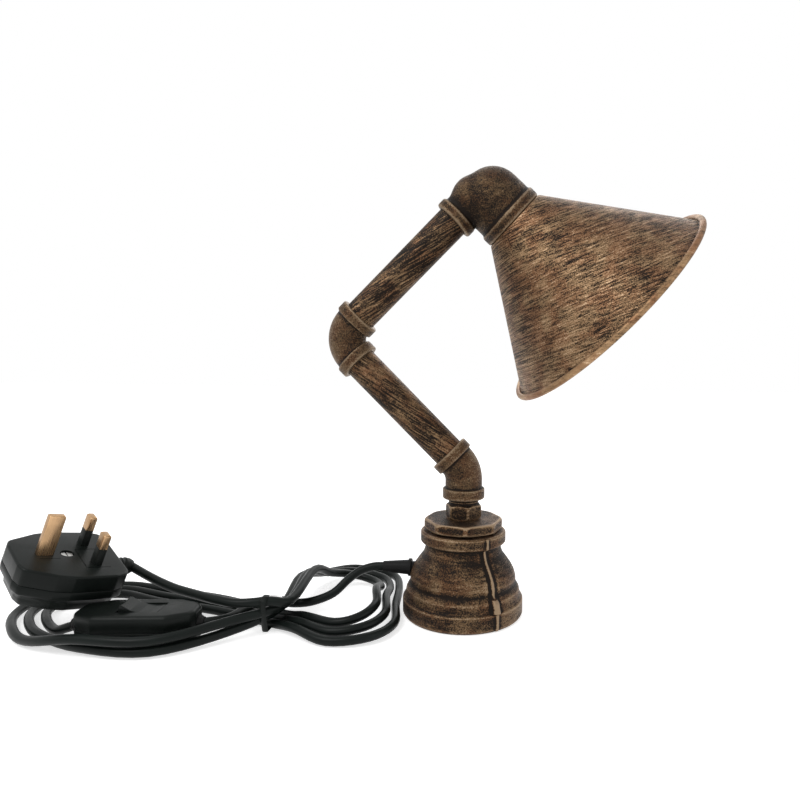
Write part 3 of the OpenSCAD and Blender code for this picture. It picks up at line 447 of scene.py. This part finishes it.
def rounded(points, radius=0.6, steps=4, closed=False):
    """The polyline with its corners rounded; radius may be one number or one per point."""
    n = len(points)
    radii = radius if isinstance(radius, (list, tuple)) else [radius] * n
    out = []
    for i, p in enumerate(points):
        p = Vector(p)
        if not closed and i in (0, n - 1) or radii[i] <= 0:
            out.append(p)
            continue
        a, b = Vector(points[i - 1]) - p, Vector(points[(i + 1) % n]) - p
        turn = math.pi - a.angle(b)
        if turn < 0.02:
            out.append(p)
            continue
        cut = min(radii[i] * math.tan(turn / 2), a.length * 0.48, b.length * 0.48)
        s, e = p + a.normalized() * cut, p + b.normalized() * cut
        for k in range(steps + 1):
            t = k / steps
            out.append((1 - t) ** 2 * s + 2 * t * (1 - t) * p + t * t * e)
    return out


def dense(points, gap, closed=False):
    """The polyline with long stretches divided."""
    out = []
    n = len(points)
    for i in range(n if closed else n - 1):
        a, b = Vector(points[i]), Vector(points[(i + 1) % n])
        k = max(1, math.ceil((b - a).length / gap))
        out += [a.lerp(b, j / k) for j in range(k)]
    return out if closed else out + [Vector(points[-1])]


def swept(path, profile, segments=96):
    """A closed profile of (radius, distance along the path), turned about a bent path.
    path(s) gives the frame at s."""
    verts = []
    frames = [path(s) for _, s in profile]
    for k in range(segments):
        w = 2 * math.pi * k / segments
        for (r, _), at in zip(profile, frames):
            verts.append(at @ Vector((r * math.cos(w) * MM, r * math.sin(w) * MM, 0)))
    return verts, ring_faces(len(profile), segments)


def elbow_path(corner, come, leave, bend_r):
    """Frames along straight, arc and straight, with s in mm and 0 at the corner's bisector;
    and how far the arc reaches from the corner along each leg, and half its length."""
    come, leave = Vector(come).normalized(), Vector(leave).normalized()
    angle = come.angle(leave)
    reach = bend_r * math.tan(angle / 2)
    half = bend_r * angle / 2
    side = come.cross(leave).normalized()

    def path(s):
        if s < -half:
            point, t = corner + come * (-(reach + (-s - half))) * MM, come
        elif s > half:
            point, t = corner + leave * (reach + s - half) * MM, leave
        else:
            w = (s + half) / bend_r
            t = Matrix.Rotation(w, 3, side) @ come
            inward = side.cross(come)
            centre = corner - come * reach * MM + inward * bend_r * MM
            point = centre - (Matrix.Rotation(w, 3, side) @ inward) * bend_r * MM
        return place(point, t, side)
    return path, reach, half


def fitting_profile(low, high, body_r, band_r, band_w, bores):
    """Closed section of a fitting from s = low to s = high: a band at each mouth, and bores as
    [(radius, depth) at low, inner radius, (radius, depth) at high]."""
    (ra, da), rc, (rb, db) = bores
    outer = rounded([(ra, low), (band_r, low), (band_r, low + band_w), (body_r, low + band_w + 0.5),
                     (body_r, high - band_w - 0.5), (band_r, high - band_w), (band_r, high), (rb, high)],
                    [0, 0.9, 0.8, 0.8, 0.8, 0.8, 0.9, 0], 4)
    inner = [(rb, high - db), (rc, high - db), (rc, low + da), (ra, low + da)]
    return dense([tuple(p) for p in outer] + inner, 0.9, True)


# ---- Fittings ----
BAND_R, BODY_R, BAND_W = 12.3, 10.8, 5.8
CORE_ROUNDS = 60


def make_elbow(m, name, body, corner, legs, bend_r, reaches, bores):
    """legs are the directions in and out, reaches how far each mouth is from the corner."""
    path, reach, half = elbow_path(corner, *legs, bend_r)
    low, high = -(reaches[0] - reach) - half, reaches[1] - reach + half
    profile = fitting_profile(low, high, BODY_R, BAND_R, BAND_W, bores)
    mark_edges(mesh_piece(name + "_cast", *swept(path, profile), m["elbow"], body, [name], "iron", 60))


def make_elbows(m):
    make_elbow(m, "elbow_45", "lower_arm", ELBOW45, ((0, 0, 1), (-1, 0, 1)), 16, (17.4, 13),
               [(9.1, 8), 6.2, (9.65, 8)])
    make_elbow(m, "mid_elbow", "upper_arm", MID, ((-1, 0, 1), (1, 0, 1)), 13.6, (19.4, 19.4),
               [(9.65, 7.9), 6.9, (9.65, 7.9)])


def cast_copy(name, source, material, body, voxel, rounds, core=None):
    """A node's own solid with cast, softened edges: remeshed evenly, then smoothed, and
    smoothed far more where core(point) says so."""
    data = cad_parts[source].data.copy()
    data.materials.clear()
    obj = bpy.data.objects.new(name, data)
    scene.collection.objects.link(obj)
    remesh = obj.modifiers.new("remesh", "REMESH")
    remesh.mode = "VOXEL"
    remesh.voxel_size = voxel
    soften = obj.modifiers.new("soften", "SMOOTH")
    soften.factor = 0.5
    soften.iterations = rounds
    bpy.context.view_layer.update()
    done = bpy.data.meshes.new_from_object(obj.evaluated_get(bpy.context.evaluated_depsgraph_get()))
    obj.modifiers.clear()
    obj.data = done
    done.name = name
    if core:
        bm = bmesh.new()
        bm.from_mesh(done)
        inner = [v for v in bm.verts if core(v.co)]
        for _ in range(CORE_ROUNDS):
            bmesh.ops.smooth_vert(bm, verts=inner, factor=0.5, use_axis_x=True, use_axis_y=True,
                                  use_axis_z=True)
        bm.to_mesh(done)
        bm.free()
    done.materials.clear()
    done.materials.append(material)
    fix_normals(obj, 180)
    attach(obj, body)
    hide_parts(source)
    mark_edges(obj, 10)


def elbow_core(p):
    """Whether a point is on the top elbow's body, between its bands and outside its bore."""
    p = p - TOP
    if p.dot(ALONG_ARM) < -0.0165 or p.dot(ALONG_SHADE) > 0.0125:
        return False
    return min((p - t * MM * ALONG_ARM).length for t in range(-16, 5, 4)) > 0.0095


def make_castings(m):
    cast_copy("top_elbow_cast", "top_elbow", m["elbow"], "head", 0.0006, 3, elbow_core)
    cast_copy("octagon_bush_cast", "reducing_bush", m["cast"], "base", 0.0005, 2)
    cast_copy("hex_nipple_cast", "hex_nipple", m["cast"], "base", 0.0004, 1)


BASE_R, BELL_H = 35.5, 49.5


def make_bell(m):
    body, neck, top, band = 31.2, 22.0, 25.0, 10.6
    outer = [(31.5, 0), (BASE_R - 0.8, 0.4), (BASE_R, 1.6), (BASE_R, band - 1.0), (BASE_R - 1.0, band),
             (33.9, band + 1.2), (33.3, 15.4), (32.2, 17.2), (body, 19), (body - 0.1, 22.6),
             (body - 0.9, 25.6), (body - 2.6, 28.8), (body - 5, 32.2), (body - 7.7, 35.6),
             (neck + 0.5, 38.6), (neck, 40.4), (neck, 42.2), (top - 0.6, 42.8), (top, 43.5),
             (top, BELL_H - 0.9), (top - 0.9, BELL_H), (18.2, BELL_H)]
    inner = [(18.0, 37), (27.2, 22.6), (27.2, 3.6), (31.6, 3.6)]
    rounds = [0, 0.4, 1, 1, 1, 0.8, 3, 3, 3, 8, 8, 8, 8, 8, 3, 1.5, 0.8, 0.5, 0.6, 0.9, 0.8, 0]
    profile = dense([tuple(p) for p in rounded(outer, rounds, 3)] + inner, 0.8, True)
    seams = [math.radians(-53), math.radians(127)]
    lug_r, lug_z = 2.6, 13.2

    def shift(w, z, r):
        """The cast seam: a ridge between two faint grooves, with a lug on the band."""
        if r < neck - 0.5 or z < 0.5 or z > BELL_H - 0.6 or (z < 4 and r < 31.7):
            return 0
        out = 0
        for seam in seams:
            d = (w - seam + math.pi) % (2 * math.pi) - math.pi
            arc = d * r
            if abs(arc) > 9:
                continue
            ridge = 0.75 * math.exp(-(arc / 0.85) ** 2)
            lug = lug_r * math.exp(-(arc / 2.3) ** 4) * math.exp(-((z - lug_z) / 4.2) ** 4)
            groove = -0.35 * (math.exp(-((arc - 2.2) / 1.2) ** 2) + math.exp(-((arc + 2.2) / 1.2) ** 2))
            out += max(ridge, lug if z > band - 0.3 else 0) + (groove if band + 2 < z < 42 else 0)
        return out
    verts, faces = lathe(profile, Matrix.Identity(4), 320, shift)
    obj = mesh_piece("bell_cast", verts, faces, m["cast"], "base", ["bell_socket"], "iron", 60)
    mark_edges(obj, 10)


# ---- Shade ----
def make_shade(m):
    elbow_reach = 24.4
    at = place(TOP + ALONG_SHADE * elbow_reach * MM, ALONG_SHADE, ACROSS_SHADE)
    hole_r, top_r, end_r, end_s, bead_r, shade_r, shade_h = 13.7, 19.3, 68.2, 72.4, 1.8, 72.1, 74.8
    outer = rounded([(hole_r, 0), (top_r, 0), (end_r, end_s), (shade_r - 0.4, end_s + 0.3)],
                    [0, 1.6, 1.2, 0], 5)
    inner = rounded([(shade_r - 0.4, end_s + 1.1), (end_r - 0.5, end_s + 1.0), (top_r - 1.1, 1.0),
                     (hole_r, 1.0)], [0, 1.0, 1.0, 0], 4)
    profile = dense([tuple(p) for p in outer] + [tuple(p) for p in inner], 1.6, True)
    verts, faces = lathe(profile, at, 192)
    obj = mesh_piece("shade_cone", verts, faces, m["shade"], "head", ["shade"], "shade_bronze", 40)
    mark_edges(obj)
    # The flange inside the bead is set to the darkest value: a painted shadow under the bead
    wear_and_shade = obj.data.attributes["edge"].data
    for i in range(len(wear_and_shade)):
        if profile[i % len(profile)][0] > end_r + 0.3:
            wear_and_shade[i].value = -1.0
    bead = [(shade_r - bead_r + bead_r * math.cos(w), shade_h - bead_r + bead_r * math.sin(w))
            for w in [2 * math.pi * k / 16 for k in range(16)]]
    mesh_piece("shade_bead", *lathe(bead, at, 192), m["bead"], "head", (), "shade_bronze", 180)


# ---- Switch and plug ----
def loft(outline, layers, at):
    """Joins the outline's rings, one for each (height, inset), and closes both ends."""
    rings = [[at @ Vector((q[0] * MM, q[1] * MM, z * MM)) for q in outline(inset)] for z, inset in layers]
    n = len(rings[0])
    faces = [tuple(reversed(range(n))), tuple(range((len(rings) - 1) * n, len(rings) * n))]
    for a in range(0, (len(rings) - 1) * n, n):
        b = a + n
        faces += [(a + i, a + (i + 1) % n, b + (i + 1) % n, b + i) for i in range(n)]
    return [v for ring in rings for v in ring], faces


def cut(obj, *shapes):
    """Takes away solids, each (verts, faces), from a piece."""
    for verts, faces in shapes:
        data = bpy.data.meshes.new("cutter")
        data.from_pydata([tuple(v) for v in verts], [], faces)
        tool = bpy.data.objects.new("cutter", data)
        scene.collection.objects.link(tool)
        fix_normals(tool)
        mod = obj.modifiers.new("cut", "BOOLEAN")
        mod.object = tool
        mod.operation = "DIFFERENCE"
        bpy.context.view_layer.update()
        done = bpy.data.meshes.new_from_object(obj.evaluated_get(bpy.context.evaluated_depsgraph_get()))
        obj.modifiers.clear()
        obj.data = done
        bpy.data.objects.remove(tool)
    fix_normals(obj)


def drum(at, r, low, high, segments=32):
    """A round cutter about the frame's Z."""
    return loft(lambda i: [(r * math.cos(2 * math.pi * k / segments), r * math.sin(2 * math.pi * k / segments))
                           for k in range(segments)], [(low, 0), (high, 0)], at)


def block(at, low, high):
    """A box between two corners of the frame."""
    return loft(lambda i: [(low[0], low[1]), (high[0], low[1]), (high[0], high[1]), (low[0], high[1])],
                [(low[2], 0), (high[2], 0)], at)


def edge_layers(low, high, r_low, r_high, steps=4):
    """Heights and insets of a wall with rounded lower and upper edges."""
    out = [(low + r_low * (1 - math.cos(w)), r_low * (1 - math.sin(w)))
           for w in [math.pi / 2 * k / steps for k in range(steps + 1)]] if r_low else [(low, 0)]
    out += [(high - r_high * (1 - math.cos(w)), r_high * (1 - math.sin(w)))
            for w in [math.pi / 2 * (1 - k / steps) for k in range(steps + 1)]] if r_high else [(high, 0)]
    return out


def in_metres(placed):
    out = placed.copy()
    out.translation *= MM
    return out


def shifted(at, x=0, y=0, z=0):
    return at @ Matrix.Translation((x * MM, y * MM, z * MM))


def switch_outline(inset):
    half = [(-0.5, 0.16), (-0.47, 0.3), (-0.3, 0.49), (-0.2, 0.5),
            (0.2, 0.5), (0.3, 0.49), (0.47, 0.3), (0.5, 0.16)]
    length, width = SWITCH_LEN - 2 * inset, SWITCH_W - 2 * inset
    points = [(-side * x * length, -side * y * width) for side in (-1, 1) for x, y in half]
    return rounded(points, 3.0, 3, closed=True)


def make_switch(m):
    at = in_metres(SWITCH_FRAME)
    low = mesh_piece("switch_half_low", *loft(switch_outline, edge_layers(0, 8.35, 1.6, 0.25), at),
                     m["moulded"], "base", ["switch_bottom"], "plug_black")
    high = mesh_piece("switch_half_high", *loft(switch_outline, edge_layers(8.55, 17, 0.25, 2.6, 5), at),
                      m["moulded"], "base", ["switch_top"], "plug_black")
    opening = block(at, (ROCKER_X - 10.8, -6.3, 9.5), (ROCKER_X + 10.8, 6.3, 20))
    cut(high, opening)
    for side in (-1, 1):
        cut(low, drum(shifted(at, side * SWITCH_LEN * 0.34), 1.7, -1, 1.2))
    collar = dense(rounded([(2.52, 0), (4.4, 0), (4.2, 1.2), (3.3, 2.4), (3.0, 3.4), (2.52, 3.4)],
                           0.5, 3, True), 1, True)
    for side, label in ((-1, "left"), (1, "right")):
        end = shifted(at, side * 30.6, 0, SWITCH_CORD_Z) @ turned("Y", side * 90)
        mesh_piece("switch_collar_" + label, *lathe(collar, end, 32), m["rubber"], "base", (), "flex_black")
    # The rocker, tipped as it is at rest, with its left end raised the more
    pivot = shifted(at, ROCKER_X, 0, ROCKER_Z) @ turned("Y", ROCKER_REST)
    side_view = [(-10.1, -0.6), (10.1, -0.6), (10.2, 4.0), (8.8, 4.3), (5.2, 3.4), (0, 3.0),
                 (-4.2, 3.6), (-8.8, 5.5), (-10.2, 5.2)]

    def outline(inset):
        return rounded([(x * (1 - inset / 12), z - (inset * 0.5 if z > 3 else 0)) for x, z in side_view],
                       0.5, 3, True)
    mesh_piece("rocker_cap", *loft(outline, edge_layers(-6, 6, 0.5, 0.5, 3), pivot @ turned("X", 90)),
               m["rocker"], "switch_rocker", ["rocker"], "plug_black", 30)
    mesh_piece("rocker_foot", *block(pivot, (-2.1, -5.9, -3), (2.1, 5.9, -0.5)), m["rocker"],
               "switch_rocker", (), "plug_black")


def plug_outline(inset):
    points = [(-0.2, 0.5), (0.2, 0.5), (0.31, 0.47), (0.46, 0.2), (0.5, 0.05), (0.5, -0.36), (0.46, -0.46),
              (0.38, -0.5), (-0.38, -0.5), (-0.46, -0.46), (-0.5, -0.36), (-0.5, 0.05), (-0.46, 0.2),
              (-0.31, 0.47)]
    size = PLUG_LEN - 2 * inset
    return rounded([(x * size, y * size) for x, y in points], 3.5, 3, closed=True)


def bar_outline(w, h):
    """The outline of a pin w by h, for loft."""
    def outline(inset):
        x, y = w / 2 - inset, h / 2 - inset
        return rounded([(x, y), (-x, y), (-x, -y), (x, -y)], 0.35, 2, True)
    return outline


def make_plug(m):
    at = in_metres(PLUG_FRAME)
    base = mesh_piece("plug_pin_base", *loft(plug_outline, edge_layers(-8.9, 0, 0.3, 1.3, 4), at),
                      m["moulded"], "base", ["plug_base"], "plug_black")
    # The screws' recesses, the earth pin's slot, and the face's fine grooves
    cut(base, drum(at, 3.4, -2.6, 1), drum(shifted(at, 0, -16.5), 2.2, -1.6, 1, 24),
        block(at, (-2, 7.1, -3), (2, 15.1, 1)), block(at, (-5.5, 4.6, -0.35), (-5.1, 14.5, 1)),
        block(at, (-16, -17.2, -0.35), (-15.6, -5, 1)), block(at, (4.2, -17.2, -0.35), (4.6, -5, 1)),
        block(at, (-16, -5.2, -0.35), (4.4, -4.8, 1)))
    cover = [(-22, 5.6), (-21.5, 4.2), (-20.4, 3.2), (-17.6, 2.7), (-15.4, 2.2), (-14.6, 0.9), (-13.8, 0.2),
             (-13.0, 0), (-9.4, 0), (-9.1, 0.3)]
    mesh_piece("plug_back", *loft(plug_outline, cover, at), m["moulded"], "base", ["plug_cover"],
               "plug_black", 50)
    # The ribbed grip, long enough to take the flex's end
    grip = [(2.52, -7), (5.3, -7), (5.3, 0.4), (4.9, 1), (4.9, 2), (5.2, 2.6), (4.9, 3.2), (4.9, 4.2),
            (5.2, 4.8), (4.9, 5.4), (4.9, 6.4), (5.2, 7), (4.6, 9.6), (3.5, 11.6), (2.52, 11.6)]
    out = shifted(at, 0, -PLUG_LEN / 2, PLUG_CORD_Z) @ turned("X", 90)
    mesh_piece("plug_grip", *lathe(dense(rounded(grip, 0.4, 3, True), 1, True), out, 40), m["moulded"],
               "base", (), "plug_black")
    line = PIN_PITCH / 2
    for name, x, y, w, h, low, high in (("earth", 0, line, 3.9, 7.9, -9, 22.7),
                                        ("live", -line, -line, 6.3, 3.9, 9.4, 17.7),
                                        ("neutral", line, -line, 6.3, 3.9, 9.4, 17.7)):
        tip = [(low, 0), (high - 1.1, 0), (high - 0.7, 0.12), (high - 0.15, 0.65), (high, 0.95)]
        mesh_piece(name + "_blade", *loft(bar_outline(w, h), tip, shifted(at, x, y)), m["brass"], "base",
                   [name + "_pin"], "brass", 40)
    for side, label in ((-1, "live"), (1, "neutral")):
        shape = loft(bar_outline(6.3, 3.9), [(-4, 0), (9.3, 0), (9.5, 0.15)], shifted(at, side * line, -line))
        mesh_piece("sleeve_" + label, *shape, m["moulded"], "base", ["pin_sleeves"] if side < 0 else (),
                   "plug_black", 40)


TIE_X = -104
TIE = [(-47, 18), (-46, 12.5), (-40.5, 0.4), (-21.5, 0.4), (-13.5, 4), (-12, 6), (-13, 9), (-41.5, 21),
       (-44, 21), (-46.5, 19.5)]


def make_tie(m):
    """A flat band drawn tight round the strands where they cross."""
    ring = [Vector(q) for q in rounded(TIE, 0.8, 3, closed=True)]
    centre = sum(ring, Vector((0, 0))) / len(ring)
    section = [(-1.7, 0.05), (-1.3, 0.5), (0, 0.65), (1.3, 0.5), (1.7, 0.05), (0, 0)]
    verts = []
    for q in ring:
        out = (q - centre).normalized()
        for x, h in section:
            at = q + out * h
            verts.append(Vector((TIE_X + x + 0.08 * (q.y - 10), at.x, max(at.y, 0.05))) * MM)
    mesh_piece("tie_band", verts, ring_faces(len(section), len(ring)), m["moulded"], "base",
               ["cord_tie"], "flex_black", 50)


# The CAD nodes that each material is given to
NODE_FINISH = {
    "lower": "lower_pipe", "upper": "upper_pipe", "felt": "felt_pad", "glass": "bulb_glass",
    "filament": "bulb_filament", "rubber": "strain_relief", "ceramic": "holder_insert fuse",
    "flex": "base_lead lower_lead upper_lead head_lead",
    "steel": "base_plate bulb_cap switch_screws rocker_pin plug_screw",
    "brass": "earth_screw outlet_bush holder_contact screw_shell switch_contacts earth_pin live_pin"
             " neutral_pin fuse_clips",
    "moulded": "relief_nut holder_cap holder_body shade_ring cord_tie switch_bottom switch_top rocker"
               " plug_base plug_cover pin_sleeves flex_grip",
}


def repaint(m):
    for key, names in NODE_FINISH.items():
        for name in names.split():
            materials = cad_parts[name].data.materials
            materials.clear()
            materials.append(m[key])


# ---- Studio ----
def seen_directly(tree):
    """1 for the camera's rays and those that a metal or glass surface sends on, otherwise 0."""
    rays = node(tree, "LightPath").outputs
    seen = math_node(tree, "MAXIMUM", rays["Is Camera Ray"], rays["Is Transmission Ray"])
    return math_node(tree, "MAXIMUM", seen, rays["Is Glossy Ray"])


LAMPS = (("key", (-0.4, -0.42, 0.75), 0.45, 3), ("fill", (0.7, -0.4, 0.4), 0.5, 0.8),
         ("back", (0.1, 0.7, 0.6), 0.6, 2))
LAMP_TARGET = Vector((-0.03, 0, 0.12))
WORLD_STRENGTH = 0.5
FLOOR_GLOW = 0.62
FLOOR_HALF = 3


def make_world():
    world = bpy.data.worlds.new("studio")
    scene.world = world
    world.use_nodes = True
    tree = world.node_tree
    plain = tree.nodes["Background"]
    plain.inputs["Strength"].default_value = WORLD_STRENGTH
    plain.inputs["Color"].default_value = (1, 1, 1, 1)
    white = node(tree, "Background", {"Color": (1, 1, 1, 1), "Strength": 1.0})
    both = node(tree, "MixShader", {0: seen_directly(tree), 1: plain.outputs[0], 2: white.outputs[0]})
    tree.links.new(both.outputs[0], tree.nodes["World Output"].inputs["Surface"])


def make_lamps():
    for name, at, size, power in LAMPS:
        light = bpy.data.lights.new(name, "AREA")
        light.size = size
        light.energy = power
        obj = bpy.data.objects.new(name, light)
        scene.collection.objects.link(obj)
        obj.location = at
        obj.rotation_euler = (LAMP_TARGET - Vector(at)).to_track_quat("-Z", "Y").to_euler()


def make_floor():
    """A floor that the camera sees as white, with the object's shadow on it."""
    data = bpy.data.meshes.new("floor")
    data.from_pydata([(x * FLOOR_HALF, y * FLOOR_HALF, 0) for x, y in ((-1, -1), (1, -1), (1, 1), (-1, 1))],
                     [], [(0, 1, 2, 3)])
    floor = bpy.data.objects.new("floor", data)
    scene.collection.objects.link(floor)
    mat, tree, shader = new_material("floor_white", Base_Color=(0.9, 0.9, 0.9, 1), Roughness=0.9)
    glow = node(tree, "Emission", {"Color": (1, 1, 1, 1), "Strength": FLOOR_GLOW})
    both = node(tree, "AddShader", {0: shader.outputs[0], 1: glow.outputs[0]})
    pick = node(tree, "MixShader", {0: seen_directly(tree), 1: shader.outputs[0], 2: both.outputs[0]})
    tree.links.new(pick.outputs[0], tree.nodes["Material Output"].inputs["Surface"])
    data.materials.append(mat)


def declare_cords(base_line, long_line):
    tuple(base_line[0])
    length_of(base_line)
    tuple(long_line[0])
    length_of(long_line)


def main():
    add_camera()
    scene.view_settings.view_transform = "Standard"
    m = make_materials()
    base_line, long_line = cord_lines()
    base_cord = curve_piece("flex_base", base_line, CORD_D / 2 * MM, m["flex"])
    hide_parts("cord_base_run")
    long_cord = curve_piece("flex_hank", long_line, CORD_D / 2 * MM, m["flex"])
    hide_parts("cord_switch_run", "cord_hank", "cord_plug_run")
    for make in (make_elbows, make_castings, make_bell, make_shade, make_switch, make_plug, make_tie, repaint):
        make(m)
    declare_cords(base_line, long_line)
    make_world()
    make_lamps()
    make_floor()


main()
